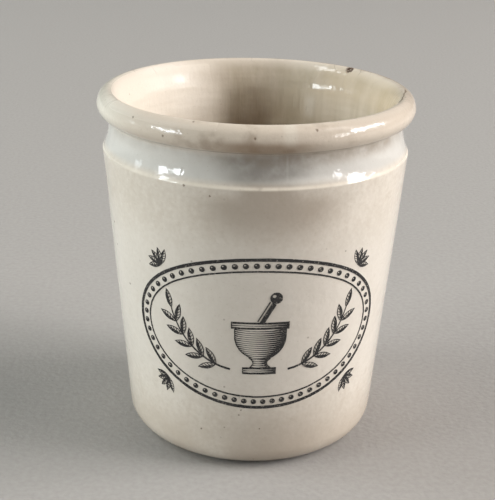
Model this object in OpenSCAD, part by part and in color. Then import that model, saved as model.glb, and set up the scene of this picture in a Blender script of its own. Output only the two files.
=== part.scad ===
// Glazed ointment pot: a thrown clay body with a bead rim, a coat of glaze and a printed label.
// The axis is Z, the pot stands on z = 0 and the label faces -Y. Sizes are in millimetres.

/* [Pot] */
// Height from the table to the crest of the rim
pot_h = 91; // [70:0.5:130]
// Diameter over the bead of the rim
rim_d = 80; // [70:0.2:95]
// Draw-in of the wall on each side, from the shoulder edge down to the table
wall_draw_in = 6.3; // [2:0.1:10]
// Radius of the rounded corner between the wall and the foot
foot_corner_r = 6.5; // [3:0.25:9]
// Thickness of the wall at the table, from which it thickens up to the neck
wall_t = 4.2; // [3:0.1:5.5]
// Thickness of the floor above the table
floor_t = 6.5; // [4:0.25:10]
// Radius of the corner between the floor and the wall inside
inner_corner_r = 10; // [5:0.5:14]

/* [Rim and neck] */
// Radius of the bead's round section
bead_r = 3.4; // [2.5:0.1:4]
// Set-back of the hollow neck from the widest line of the bead
neck_set_back = 3; // [2:0.1:4]
// Height of the hollow neck, from the shoulder edge to the bead
neck_h = 8; // [6:0.25:12]
// Set-back of the sharp shoulder edge from the widest line of the bead
shoulder_set_back = 1.2; // [0.2:0.1:1.6]
// Width of the rounded lip, from the crest of the bead in to the throat
lip_w = 3.6; // [2.5:0.1:5]
// Depth of the throat below the crest
throat_drop = 8; // [6.5:0.25:9]

/* [Foot] */
// Width of the flat ring that the pot stands on
foot_ring_w = 4; // [2.5:0.25:6]
// Depth of the recess inside the foot ring
recess_h = 1.6; // [0.8:0.1:2.4]
// Width of the sloping side of the recess
recess_slope_w = 2; // [1:0.25:4]

/* [Glaze] */
// Thickness of the glaze
glaze_t = 0.3; // [0.15:0.05:0.6]
// Height of the glaze's lower edge above the table
glaze_edge_h = 0.8; // [0.4:0.1:1.5]

/* [Label border] */
// Width of the label round the wall
label_w = 66; // [58:0.5:76]
// Height of the label
label_h = 41; // [36:0.5:46]
// Height of the label's middle above the table
label_z = 39; // [34:0.5:46]
// Thickness of the printed ink
ink_t = 0.08; // [0.05:0.01:0.15]
// Width of the border's outer rule
outer_rule_w = 0.8; // [0.5:0.05:1.2]
// Width of the border's inner rule
inner_rule_w = 0.4; // [0.3:0.05:0.7]
// Width of the band between the two rules
pearl_band_w = 2.4; // [2:0.1:3]
// Diameter of a pearl in the band
pearl_d = 1.4; // [0.8:0.1:1.7]
// Number of pearls in the band
pearl_count = 60; // [40:4:68]
// Length of a petal in the corners of the label
petal_l = 4.2; // [3:0.1:5]
// Width of a petal in the corners of the label
petal_w = 1.5; // [1:0.1:2]
// Number of petals in each corner
petal_count = 5; // [3:2:7]
// Clear space between the outer rule and a corner's petals
petal_gap = 1.6; // [1.2:0.1:2]

/* [Label emblem] */
// Width of the mortar over its brim
mortar_w = 14; // [12:0.5:16]
// Height of the mortar
mortar_h = 14; // [12.5:0.5:15]
// Height of the mortar's brim
brim_h = 1.6; // [1:0.1:2.2]
// Overhang of the mortar's brim
brim_over = 0.9; // [0.4:0.1:1.4]
// Height of the upright sides of the mortar's bowl
bowl_side_h = 2.2; // [1:0.1:2.6]
// Width of the mortar's stem
stem_w = 4.2; // [3:0.1:6]
// Width of the mortar's foot
mortar_foot_w = 8.4; // [6:0.2:10]
// Height of the mortar's foot
mortar_foot_h = 1.6; // [1:0.1:2.2]
// Width of the unprinted line round the mortar
mortar_line_w = 0.5; // [0.3:0.05:0.8]
// Length of the pestle that shows above the mortar
pestle_l = 7.5; // [5:0.5:8.5]
// Width of the pestle's handle
pestle_w = 1.8; // [1.2:0.1:2.4]
// Diameter of the pestle's knob
knob_d = 3; // [2.6:0.1:3.6]
// Lean of the pestle to the right
pestle_lean = 28; // [10:1:35]
// Drop of the mortar's foot below the label's middle
emblem_drop = 10.5; // [9:0.25:11.5]

/* [Label sprigs] */
// Radius of the curve of a sprig's stalk
sprig_r = 19; // [17:0.5:21]
// Width of a sprig's stalk
stalk_w = 0.5; // [0.35:0.05:0.8]
// Length of a leaf
leaf_l = 5; // [4:0.1:5.6]
// Width of a leaf
leaf_w = 1.7; // [1.2:0.1:2.2]
// Clear space between the mortar's foot and a sprig
sprig_gap = 3; // [2:0.25:4]
// Height of a sprig's start above the mortar's foot
sprig_rise = 1; // [0:0.25:2]
// Number of leaf pairs on a sprig
leaf_pairs = 5; // [4:1:6]
// Angle between a leaf and the stalk
leaf_spread = 38; // [28:1:48]

/* [Hidden] */

$fn = 96;
// Largest turn between two points of an arc in the section, in degrees
arc_step = 4;
// Points round each rule of the border
oval_points = 96;
// Room that the ink's layer and the stamps keep beyond the print
print_margin = 1;

// Radii of the turned section
rim_r = rim_d / 2;
neck_r = rim_r - neck_set_back;
shoulder_r = rim_r - shoulder_set_back;
foot_r = shoulder_r - wall_draw_in;
throat_r = rim_r - bead_r - lip_w;

// Levels of the turned section
neck_z = pot_h - 2 * bead_r;
shoulder_z = neck_z - neck_h;
throat_z = pot_h - throat_drop;

// Lean of the wall from the vertical, and the directions along it and square to it
lean = atan(wall_draw_in / shoulder_z);
wall_up = [sin(lean), cos(lean)];
wall_out = [cos(lean), -sin(lean)];

// Round corner of the foot, and the ring on which it ends
corner_c = [foot_r + foot_corner_r * (tan(lean) - 1 / cos(lean)), foot_corner_r];
glaze_edge_a = -asin(1 - glaze_edge_h / foot_corner_r);
ring_in_r = corner_c.x - foot_ring_w;

// Hollow of the neck: an arc that is upright under the bead and ends on the shoulder edge
cove_w = shoulder_r - neck_r;
cove_r = (neck_h * neck_h + cove_w * cove_w) / (2 * cove_w);
cove_c = [neck_r + cove_r, neck_z];

// Bead, and the rounded lip that runs from its top down to the throat
bead_c = [rim_r - bead_r, pot_h - bead_r];
lip_r = (throat_drop * throat_drop + lip_w * lip_w) / (2 * lip_w);
lip_c = [throat_r + lip_r, throat_z];

// Inner wall: a straight line up from the foot that touches the lip's arc at the throat
inner_foot_r = foot_r - wall_t;
inner_reach = [lip_c.x - inner_foot_r, lip_c.y];
inner_lean = atan(inner_reach.x / inner_reach.y) - asin(lip_r / norm(inner_reach));

// Round corner between the inner wall and the floor
inner_corner_z = floor_t + inner_corner_r;
inner_corner_c = [
  inner_foot_r + inner_corner_z * tan(inner_lean) - inner_corner_r / cos(inner_lean),
  inner_corner_z
];

// Label: radius of the wall at its middle, and the half axes of its border from the outside in
label_r = wall_r(label_z);
outer_axes = [label_w, label_h] / 2;
band_axes = outer_axes - outer_rule_w * [1, 1];
inner_axes = band_axes - pearl_band_w * [1, 1];
field_axes = inner_axes - inner_rule_w * [1, 1];
pearl_axes = (band_axes + inner_axes) / 2;
// Reach of a stamp to each side of the wall at the label's middle
stamp_reach = label_h / 2 * tan(lean) + print_margin;

// Corner petals fan out from a point on each diagonal, clear of the outer rule
corner_a = 45;
corner_fan = 120;
corner_way = [cos(corner_a), sin(corner_a)];
corner_p = [outer_axes.x * corner_way.x, outer_axes.y * corner_way.y] + petal_gap * corner_way;

// A sprig's stalk is an arc from beside the mortar's foot, up and out
sprig_start = -80;
sprig_end = -14;
sprig_c = [
  mortar_foot_w / 2 + sprig_gap - sprig_r * cos(sprig_start),
  sprig_rise - emblem_drop - sprig_r * sin(sprig_start)
];

// Point on a circle, and the angle of a vector from 0 to 360 degrees
function on_circle(c, r, a) = c + r * [cos(a), sin(a)];
function turn_of(v) = (atan2(v.y, v.x) + 360) % 360;

// Points along an arc, both ends included
function arc(c, r, a0, a1) =
  let (steps = max(2, ceil(abs(a1 - a0) / arc_step)))
  [for (i = [0:steps]) on_circle(c, r, a0 + (a1 - a0) * i / steps)];

// Place where two circles cross, on the left of the way from the first centre to the second
function crossing(c1, r1, c2, r2) =
  let (
    d = norm(c2 - c1),
    u = (c2 - c1) / d,
    along = (r1 * r1 - r2 * r2 + d * d) / (2 * d),
    off = sqrt(r1 * r1 - along * along)
  )
  c1 + along * u + off * [-u.y, u.x];

// Shoulder edge with the faces moved in by d: the wall's line meets the neck's arc
function shoulder_edge(d) =
  let (
    off = cove_c * wall_out - foot_r * cos(lean) + d,
    along = sqrt(pow(cove_r + d, 2) - off * off)
  )
  cove_c - off * wall_out - along * wall_up;

// Face of the pot moved in by d, from the glaze's edge at the foot over the rim to the floor's middle
function face(d) =
  let (
    shoulder = shoulder_edge(d),
    crease = crossing(cove_c, cove_r + d, bead_c, bead_r - d),
    crest = crossing(bead_c, bead_r - d, lip_c, lip_r - d)
  )
  concat(
    arc(corner_c, foot_corner_r - d, glaze_edge_a, -lean),
    arc(cove_c, cove_r + d, turn_of(shoulder - cove_c), turn_of(crease - cove_c)),
    arc(bead_c, bead_r - d, turn_of(crease - bead_c) - 360, turn_of(crest - bead_c)),
    arc(lip_c, lip_r - d, turn_of(crest - lip_c), 180 - inner_lean),
    arc(inner_corner_c, inner_corner_r + d, -inner_lean, -90),
    [[0, floor_t - d]]
  );

function reversed(points) = [for (i = [len(points) - 1:-1:0]) points[i]];

// Radius of the recess's sloping side at height z
function recess_r(z) = ring_in_r - recess_slope_w * z / (recess_h + glaze_t);

// Radius of the wall at height z
function wall_r(z) = foot_r + z * tan(lean);

// Front view of a label point, s along the wall from the label's middle and v up from it
function on_wall(s, v) =
  let (z = label_z + v)
  [wall_r(z) * sin(s / label_r * 180 / PI), z];

// Points round an oval with its middle on the label's middle
function oval(axes) = [
  for (i = [0:oval_points - 1])
    [axes.x * cos(i * 360 / oval_points), axes.y * sin(i * 360 / oval_points)]
];

// Angle on an oval after u degrees of even steps along it
function oval_angle(axes, u) = u + (axes.x - axes.y) / (axes.x + axes.y) * 90 / PI * sin(2 * u);

// Fired clay body
module pot_body() {
  recess_top = recess_h + glaze_t;
  color([0.82, 0.74, 0.62])
    rotate_extrude()
      polygon(concat(
        [[0, recess_top], [recess_r(recess_top), recess_top], [ring_in_r, 0]],
        arc(corner_c, foot_corner_r, -90, glaze_edge_a),
        face(glaze_t)
      ));
}

// Glaze over the outside, the rim and the inside
module wall_glaze() {
  color([0.88, 0.84, 0.77])
    rotate_extrude()
      polygon(concat(face(0), reversed(face(glaze_t))));
}

// Glaze in the recess under the foot
module base_glaze() {
  color([0.86, 0.82, 0.74])
    rotate_extrude()
      polygon([
        [0, recess_h],
        [recess_r(recess_h), recess_h],
        [recess_r(recess_h + glaze_t), recess_h + glaze_t],
        [0, recess_h + glaze_t]
      ]);
}

// Thin layer on the wall in which all the printing lies
module ink_film() {
  low = label_z - label_h / 2 - print_margin;
  high = label_z + label_h / 2 + print_margin;
  rotate_extrude()
    polygon([
      [wall_r(low), low],
      [wall_r(low) + ink_t, low],
      [wall_r(high) + ink_t, high],
      [wall_r(high), high]
    ]);
}

// Prism through the wall from a small flat motif, s along the wall and v up from the label's middle
module stamp(s, v, turn = 0) {
  rotate([0, 0, s / label_r * 180 / PI])
    translate([0, stamp_reach - label_r, label_z + v])
      rotate([90, 0, 0])
        linear_extrude(2 * stamp_reach)
          rotate(turn)
            children();
}

// Prism through the front of the wall from an outline in label coordinates
module wrapped(points) {
  rotate([90, 0, 0])
    linear_extrude(label_r + stamp_reach)
      polygon([for (p = points) on_wall(p.x, p.y)]);
}

// Oval band of the border between two pairs of half axes
module rule(outside, inside) {
  difference() {
    wrapped(oval(outside));
    wrapped(oval(inside));
  }
}

// Leaf with two round sides, pointing along +X from its stalk
module leaf(l, w) {
  side_r = (l * l + w * w) / (4 * w);
  intersection() {
    translate([l / 2, side_r - w / 2])
      circle(side_r);
    translate([l / 2, w / 2 - side_r])
      circle(side_r);
  }
}

// Row of pearls between the two rules
module pearls() {
  for (i = [0:pearl_count - 1]) {
    a = oval_angle(pearl_axes, (i + 0.5) * 360 / pearl_count);
    stamp(pearl_axes.x * cos(a), pearl_axes.y * sin(a))
      circle(d = pearl_d);
  }
}

// Fans of petals in the four corners
module corner_petals() {
  for (x = [-1, 1], y = [-1, 1], i = [0:petal_count - 1]) {
    a = corner_a + corner_fan * (i / (petal_count - 1) - 0.5);
    stamp(x * corner_p.x, y * corner_p.y, atan2(y * sin(a), x * cos(a)))
      leaf(petal_l, petal_w);
  }
}

// Mortar with its pestle, standing on the middle of its foot
module mortar_and_pestle() {
  bowl_r = mortar_w / 2 - brim_over;
  bowl_top = mortar_h - brim_h;
  bowl_z = bowl_top - bowl_side_h;
  difference() {
    union() {
      translate([-mortar_w / 2, bowl_top])
        square([mortar_w, brim_h]);
      translate([-bowl_r, bowl_z])
        square([2 * bowl_r, bowl_side_h]);
      translate([0, bowl_z])
        circle(bowl_r);
      translate([-stem_w / 2, 0])
        square([stem_w, bowl_z]);
      translate([-mortar_foot_w / 2, 0])
        square([mortar_foot_w, mortar_foot_h]);
    }
    translate([-mortar_w / 2, bowl_top - 2 * mortar_line_w])
      square([mortar_w, mortar_line_w]);
  }
  translate([0, mortar_h - brim_h / 2])
    rotate(-pestle_lean) {
      translate([-pestle_w / 2, 0])
        square([pestle_w, pestle_l]);
      translate([0, pestle_l])
        circle(d = knob_d);
    }
}

// Leafy sprig to the right (side 1) or the left (side -1) of the mortar
module sprig(side) {
  stalk = concat(
    arc(sprig_c, sprig_r + stalk_w / 2, sprig_start, sprig_end),
    arc(sprig_c, sprig_r - stalk_w / 2, sprig_end, sprig_start)
  );
  wrapped([for (p = stalk) [side * p.x, p.y]]);
  for (i = [1:leaf_pairs], out = [-1, 1]) {
    a = sprig_start + (sprig_end - sprig_start) * i / (leaf_pairs + 1);
    p = on_circle(sprig_c, sprig_r, a);
    way = a + 90 + out * leaf_spread;
    stamp(side * p.x, p.y, atan2(sin(way), side * cos(way)))
      leaf(leaf_l, leaf_w);
  }
  tip = on_circle(sprig_c, sprig_r, sprig_end);
  stamp(side * tip.x, tip.y, atan2(cos(sprig_end), -side * sin(sprig_end)))
    leaf(leaf_l, leaf_w);
}

// Black print on the wall
module printed_label() {
  color([0.12, 0.12, 0.12])
    intersection() {
      ink_film();
      union() {
        rule(outer_axes, band_axes);
        rule(inner_axes, field_axes);
        pearls();
        corner_petals();
        stamp(0, -emblem_drop)
          mortar_and_pestle();
        sprig(1);
        sprig(-1);
      }
    }
}

pot_body();
wall_glaze();
base_glaze();
printed_label();
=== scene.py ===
"""Old glazed ointment pot: a fired clay body, a coat of cream glaze and a black printed label.

Metres, Z up. The pot stands on z = 0 with its axis on Z, and the label faces -Y.
"""

import math
from types import SimpleNamespace

import bmesh
import bpy
from mathutils import Matrix, Vector, noise


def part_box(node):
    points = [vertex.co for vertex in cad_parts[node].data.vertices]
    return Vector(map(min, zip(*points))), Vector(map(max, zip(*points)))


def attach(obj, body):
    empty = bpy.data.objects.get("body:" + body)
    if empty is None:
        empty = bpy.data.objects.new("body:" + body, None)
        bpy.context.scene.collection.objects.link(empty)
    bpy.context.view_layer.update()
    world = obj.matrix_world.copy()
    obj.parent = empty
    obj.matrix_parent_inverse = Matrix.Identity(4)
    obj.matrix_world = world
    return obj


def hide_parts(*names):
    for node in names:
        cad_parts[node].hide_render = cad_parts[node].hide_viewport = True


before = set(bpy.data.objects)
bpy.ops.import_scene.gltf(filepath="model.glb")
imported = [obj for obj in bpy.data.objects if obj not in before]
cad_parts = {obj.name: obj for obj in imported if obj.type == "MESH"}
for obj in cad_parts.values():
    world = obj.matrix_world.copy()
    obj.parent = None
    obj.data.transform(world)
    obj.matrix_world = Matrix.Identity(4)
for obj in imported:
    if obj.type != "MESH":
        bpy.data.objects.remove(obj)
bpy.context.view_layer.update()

MM = 0.001
UP = Vector((0, 0, 1))

# Sizes of the turned section, the main ones from the frame
glaze_low, glaze_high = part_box("wall_glaze")
RIM_R = glaze_high.x
POT_H = glaze_high.z
WALL_DRAW_IN = 6.3 * MM
FOOT_CORNER_R = 6.5 * MM
WALL_T = 4.2 * MM
FLOOR_T = 6.5 * MM
INNER_CORNER_R = 10 * MM
BEAD_R = 3.4 * MM
NECK_SET_BACK = 3 * MM
NECK_H = 8 * MM
SHOULDER_SET_BACK = 1.2 * MM
LIP_W = 3.6 * MM
THROAT_DROP = 8 * MM
FOOT_RING_W = 4 * MM
RECESS_H = 1.6 * MM
RECESS_SLOPE_W = 2 * MM
GLAZE_T = 0.3 * MM
GLAZE_EDGE_H = glaze_low.z

# Roundings that the glaze and the potter's sponge leave on the edges
ARRIS_R = 0.7 * MM
CREASE_R = 0.8 * MM
CREST_R = 1.6 * MM

# Edges sharper than this stay sharp, and points closer than this are joined
SHARP_ANGLE = math.radians(40)
JOIN_DISTANCE = 0.001 * MM

# Unevenness of hand work, always inwards
LOBE_SIZE = 26 * MM
LOBE_DEPTH = 0.14 * MM
RIPPLE_SIZE = 7 * MM
RIPPLE_DEPTH = 0.03 * MM
STILL_R = 20 * MM
BEAD_FLAT = 0.09 * MM
LIP_FLAT = 0.085 * MM

# Larger iron specks: azimuth from the label's middle in degrees, height and diameter in millimetres
IRON_SPECKS = (
    (-27.8, 76.0, 0.8),
    (-18.5, 74.3, 0.7),
    (-72.2, 59.1, 0.8),
    (-71.2, 53.3, 0.7),
    (-60.8, 45.0, 0.8),
    (-7.0, 17.9, 0.6),
    (-7.8, 16.4, 0.5),
    (-24.5, 10.9, 0.7),
    (1.0, 12.5, 0.5),
    (-34.8, 87.1, 0.9),
    (16.8, 89.9, 1.0),
    (-25.0, 90.8, 0.8),
    (-3.5, 88.5, 0.9),
    (-49.0, 89.6, 0.7),
)

# Chip, painted reflection streak on the bead and the neck, painted glint inside, crack and painted
# shade under the shoulder, with half widths and lengths round the pot in radians
CHIP_AZIMUTH = math.radians(132.2)
CHIP_R = 1.3 * MM
CHIP_DEPTH = 0.5 * MM
CHIP_LEAN = math.radians(-55)
CHIP_JAGS = 0.35
CHIP_JAG_SIZE = 0.8 * MM
CHIP_STEEPNESS = 1.6
CHIP_CUTS = 4
STREAK_AZIMUTH = math.radians(7.8)
BEAD_STREAK_HALF_TURN = 0.06
NECK_STREAK_HALF_TURN = 0.012
INNER_GLINT_AZIMUTH = math.radians(149.5)
INNER_GLINT_HALF_TURN = 0.07
CRACK_AZIMUTH = math.radians(88)
CRACK_TURN = 0.38
CRACK_SLANT = -2.4 * MM
CRACK_JAGS = 2.0 * MM
CRACK_HALF_W = 0.3 * MM
SHOULDER_SHADE_AZIMUTH = math.radians(2.5)
SHOULDER_SHADE_H = 74 * MM
SHOULDER_SHADE_R = 22 * MM

# Full-strength share of a soft mark, and how far the specks' edges wander
DOT_CORE = 0.4
LINE_CORE = 0.2
SPECK_SHAKE = 0.6 * MM

# Depths under the outer face at the foot, between which the glaze turns from outside to inside
OUTSIDE_TO = 2.9 * MM
INSIDE_FROM = 4.8 * MM

# Fineness of the turned meshes
WHEEL_STEPS = 192
ARC_STEP = math.radians(6)
LONGEST_STEP = 1.5 * MM

# Printed label, in sizes along the wall and up it
LABEL_W = 66 * MM
LABEL_H = 41 * MM
LABEL_Z = 39 * MM
INK_T = 0.08 * MM
INK_LAYER = 0.01 * MM
INK_ROUGH = 0.05 * MM
INK_GRAIN = 0.9 * MM
INK_SEED = 1
OUTER_RULE_W = 0.8 * MM
INNER_RULE_W = 0.4 * MM
RULE_LOBE = 4 * MM
PEARL_BAND_W = 2.4 * MM
PEARL_D = 1.4 * MM
PEARL_COUNT = 60
PETAL_L = 4.2 * MM
PETAL_W = 1.5 * MM
PETAL_COUNT = 5
PETAL_GAP = 1.6 * MM
CORNER_FAN = math.radians(120)
MORTAR_W = 14 * MM
MORTAR_H = 14 * MM
BRIM_H = 1.6 * MM
BRIM_OVER = 0.9 * MM
BOWL_SIDE_H = 2.2 * MM
STEM_W = 4.2 * MM
MORTAR_FOOT_W = 8.4 * MM
MORTAR_FOOT_H = 1.6 * MM
PESTLE_L = 7.5 * MM
PESTLE_W = 1.8 * MM
KNOB_D = 3 * MM
PESTLE_LEAN = math.radians(28)
EMBLEM_DROP = 10.5 * MM
SPRIG_R = 19 * MM
SPRIG_START = math.radians(-80)
SPRIG_END = math.radians(-14)
SPRIG_GAP = 3 * MM
SPRIG_RISE = 1 * MM
STALK_W = 0.5 * MM
LEAF_L = 5 * MM
LEAF_W = 1.7 * MM
LEAF_PAIRS = 5
LEAF_SPREAD = math.radians(38)
FINE_LINE = 0.2 * MM
LIT_LINE = 1.2 * FINE_LINE
SHADE_LINE = 3.2 * FINE_LINE
LEVEL_LINE = 1.6 * FINE_LINE
HATCH_STEP = 0.56 * MM
BOWL_SAG = 0.45 * MM
STEM_SAG = 0.2 * MM

# Shares of a pearl's radius, of a leaf's length, of the stem's width and of a rule's width
GLINT_SHARE = 0.28
GLINT_OFF = 0.32
VEINS_AT = (0.2, 0.36, 0.52, 0.68)
VEIN_RISE = 0.14
STEM_WAIST = 0.75
STEM_FLARE = 0.5
RULE_UNEVEN = 0.12

# Two lines of the pestle: how far right of its middle and how wide, as shares of its width
PESTLE_LINES = ((0.18, 0.62), (-0.42, 0.16))

# Shading across a round form of the print, from -1 on its left to 1 on its right
LIT_TO = -0.35
LEFT_EDGE_TO = -0.65
LEAST_INK = 0.16
SHADE_INK = 0.78
EDGE_INK = 0.4
SHADE_CURVE = 1.3

# Fineness of the print
PEARL_SIDES = 16
LEAF_STEPS = 10
RULE_STEPS = 168
HATCH_LINE_STEPS = 24
STALK_STEPS = 28
STROKE_NEAR = 0.01

# Floor, lights and camera
GROUND_HALF_W = 6
LIGHT_DISTANCE = 2.5
PANE_WHITE = (1.0, 0.985, 0.98)
PANE_BLUE = (0.90, 0.96, 1.0)
ROOM_GLOW = 0.01
CAMERA_DISTANCE = 272.0 * MM
CAMERA_HEIGHT = 152.4 * MM
CAMERA_TILT = math.radians(21.165)
CAMERA_PAN = math.radians(-0.304)
CAMERA_ROLL = math.radians(1.203)
CAMERA_ROUND = math.radians(-3.5)
LENS_MM = 79.2
SENSOR_MM = 36
NEAREST_SEEN = 10 * MM


# Section of the pot, in (radius, height)


def bearing(v):
    """Angle of a section vector, from 0 to a full turn."""
    return math.atan2(v.y, v.x) % math.tau


def around(centre, r, a):
    """Place on a circle at an angle."""
    return centre + r * Vector((math.cos(a), math.sin(a)))


def crossing(c1, r1, c2, r2):
    """Place where two circles cross, on the left of the way from the first centre to the second."""
    way = c2 - c1
    along = (r1 * r1 - r2 * r2 + way.length_squared) / (2 * way.length)
    off = math.sqrt(r1 * r1 - along * along)
    u = way.normalized()
    return c1 + along * u + off * Vector((-u.y, u.x))


neck_r = RIM_R - NECK_SET_BACK
shoulder_r = RIM_R - SHOULDER_SET_BACK
foot_r = shoulder_r - WALL_DRAW_IN
throat_r = RIM_R - BEAD_R - LIP_W
neck_z = POT_H - 2 * BEAD_R
shoulder_z = neck_z - NECK_H
throat_z = POT_H - THROAT_DROP

lean = math.atan(WALL_DRAW_IN / shoulder_z)
wall_up = Vector((math.sin(lean), math.cos(lean)))
wall_out = Vector((math.cos(lean), -math.sin(lean)))

corner_c = Vector((foot_r + FOOT_CORNER_R * (math.tan(lean) - 1 / math.cos(lean)), FOOT_CORNER_R))
glaze_edge_a = -math.asin(1 - GLAZE_EDGE_H / FOOT_CORNER_R)
ring_in_r = corner_c.x - FOOT_RING_W
recess_r = ring_in_r - RECESS_SLOPE_W

cove_w = shoulder_r - neck_r
cove_r = (NECK_H**2 + cove_w**2) / (2 * cove_w)
cove_c = Vector((neck_r + cove_r, neck_z))
bead_c = Vector((RIM_R - BEAD_R, POT_H - BEAD_R))
lip_r = (THROAT_DROP**2 + LIP_W**2) / (2 * LIP_W)
lip_c = Vector((throat_r + lip_r, throat_z))

# Centres of the small roundings at the shoulder edge, under the bead and on the crest
arris_off = cove_c.dot(wall_out) - foot_r * math.cos(lean) + ARRIS_R
arris_along = math.sqrt((cove_r + ARRIS_R) ** 2 - arris_off**2)
arris_c = cove_c - arris_off * wall_out - arris_along * wall_up
crease_c = crossing(cove_c, cove_r - CREASE_R, bead_c, BEAD_R + CREASE_R)
crest_c = crossing(bead_c, BEAD_R - CREST_R, lip_c, lip_r - CREST_R)

# Inner wall, straight up to the lip's arc, and the round corner at the floor
inner_foot_r = foot_r - WALL_T
inner_reach = Vector((lip_c.x - inner_foot_r, lip_c.y))
inner_lean = math.atan(inner_reach.x / inner_reach.y) - math.asin(lip_r / inner_reach.length)
inner_corner_z = FLOOR_T + INNER_CORNER_R
inner_corner_c = Vector(
    (
        inner_foot_r + inner_corner_z * math.tan(inner_lean) - INNER_CORNER_R / math.cos(inner_lean),
        inner_corner_z,
    )
)


def wall_r(z):
    """Radius of the wall at a height."""
    return foot_r + z * math.tan(lean)


# Drawing and turning the section


def start_line(bm, place):
    """Sets the tip of a line at a place of the section."""
    return bm.verts.new((place.x, 0, place.y))


def swing(bm, tip, centre, turn):
    """Draws an arc: the tip of the line swings round a centre, anticlockwise for a positive turn."""
    r = math.hypot(tip.co.x - centre.x, tip.co.z - centre.y)
    steps = max(2, math.ceil(abs(turn) / ARC_STEP), math.ceil(abs(turn) * r / LONGEST_STEP))
    made = bmesh.ops.spin(
        bm, geom=[tip], cent=(centre.x, 0, centre.y), axis=(0, -1, 0), angle=turn, steps=steps
    )
    return made["geom_last"][0]


def swing_to(bm, tip, centre, bearing_end, turn_way):
    """Swings the tip round a centre until it bears on an angle, +1 anticlockwise or -1 clockwise."""
    now = bearing(Vector((tip.co.x, tip.co.z)) - centre)
    turn = turn_way * ((turn_way * (bearing_end - now)) % math.tau)
    return swing(bm, tip, centre, turn)


def straight_to(bm, tip, place):
    """Draws a straight stretch from the tip of the line to a place."""
    way = Vector((place.x, 0, place.y)) - tip.co
    steps = max(1, math.ceil(way.length / LONGEST_STEP))
    for _ in range(steps):
        tip = bmesh.ops.extrude_vert_indiv(bm, verts=[tip])["verts"][0]
        bmesh.ops.translate(bm, verts=[tip], vec=way / steps)
    return tip


def draw_face(bm, tip, depth):
    """Draws the pot's face, moved in by a depth, from the glaze's lower edge to the inner floor."""
    tip = swing_to(bm, tip, corner_c, -lean, 1)
    tip = straight_to(bm, tip, arris_c + (ARRIS_R - depth) * wall_out)
    tip = swing_to(bm, tip, arris_c, bearing(cove_c - arris_c), 1)
    tip = swing_to(bm, tip, cove_c, bearing(crease_c - cove_c), -1)
    tip = swing_to(bm, tip, crease_c, bearing(bead_c - crease_c), -1)
    tip = swing_to(bm, tip, bead_c, bearing(crest_c - bead_c), 1)
    tip = swing_to(bm, tip, crest_c, bearing(crest_c - lip_c), 1)
    tip = swing_to(bm, tip, lip_c, math.pi - inner_lean, 1)
    tip = straight_to(bm, tip, around(inner_corner_c, INNER_CORNER_R + depth, -inner_lean))
    tip = swing_to(bm, tip, inner_corner_c, -math.pi / 2, -1)
    return straight_to(bm, tip, Vector((0, FLOOR_T - depth)))


def turn_on_wheel(bm):
    """Turns the drawn half section about the pot's axis."""
    section = bm.verts[:] + bm.edges[:]
    bmesh.ops.spin(
        bm, geom=section, cent=(0, 0, 0), axis=UP, angle=math.tau, steps=WHEEL_STEPS, use_merge=True
    )
    bmesh.ops.remove_doubles(bm, verts=bm.verts, dist=JOIN_DISTANCE)
    bmesh.ops.recalc_face_normals(bm, faces=bm.faces)


def by_bearing(azimuth, place):
    """Place on the pot from an azimuth and a place in its section."""
    return Vector((place.x * math.sin(azimuth), -place.x * math.cos(azimuth), place.y))


chip_way = around(Vector((0, 0)), 1, CHIP_LEAN)
chip_c = by_bearing(CHIP_AZIMUTH, crest_c - CREST_R * chip_way)
chip_push = by_bearing(CHIP_AZIMUTH, chip_way)

# Stretches that the sponge flattened: centre and radius of the round, direction, half width and depth
flats = (
    (bead_c, BEAD_R, math.radians(17), math.radians(24), BEAD_FLAT),
    (lip_c, lip_r, math.radians(160), math.radians(14), LIP_FLAT),
)


def sponged(p):
    """A point of the turned shape, moved in where the sponge flattened the bead and the lip."""
    r = p.xy.length
    place = Vector((r, p.z))
    for centre, round_r, middle, half, depth in flats:
        off = place - centre
        turn = math.remainder(bearing(off) - middle, math.tau) / half
        if abs(turn) < 1 and abs(off.length - round_r) < 2 * GLAZE_T:
            place -= off.normalized() * depth * math.cos(turn * math.pi / 2) ** 2
    share = place.x / max(r, GLAZE_T)
    return Vector((p.x * share, p.y * share, place.y)) if r > GLAZE_T else p


def by_hand(p):
    """A point of the turned shape, moved in by the unevenness of hand work and by the chip."""
    p = sponged(p)
    lobe = 0.5 + 0.5 * noise.noise(p / LOBE_SIZE)
    ripple = 0.5 + 0.5 * noise.noise(p / RIPPLE_SIZE)
    inward = LOBE_DEPTH * lobe + RIPPLE_DEPTH * ripple
    share = 1 - inward / max(STILL_R, p.xy.length)
    reach = (p - chip_c).length / CHIP_R + CHIP_JAGS * noise.noise(p / CHIP_JAG_SIZE)
    dent = CHIP_DEPTH * min(1, max(0, CHIP_STEEPNESS * (1 - reach)))
    return Vector((p.x * share, p.y * share, p.z)) + dent * chip_push


def chip_distance(edge):
    """How far the middle of an edge is from the chip."""
    return ((edge.verts[0].co + edge.verts[1].co) / 2 - chip_c).length


def work_by_hand(bm):
    """Divides the mesh finely round the chip, then moves every point as hand work would."""
    near = [edge for edge in bm.edges if chip_distance(edge) < 2 * CHIP_R]
    if near:
        bmesh.ops.subdivide_edges(bm, edges=near, cuts=CHIP_CUTS, use_grid_fill=True)
    for vert in bm.verts:
        vert.co = by_hand(vert.co)


# Pieces


def make_piece(name, bm, finish, node):
    """Makes a piece from its bmesh, in the place of a node of the frame."""
    mesh = bpy.data.meshes.new(name)
    bm.to_mesh(mesh)
    bm.free()
    mesh.shade_smooth()
    mesh.set_sharp_from_angle(angle=SHARP_ANGLE)
    mesh.materials.append(finish)
    piece = bpy.data.objects.new(name, mesh)
    bpy.context.scene.collection.objects.link(piece)
    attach(piece, "root")
    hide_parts(node)


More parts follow.
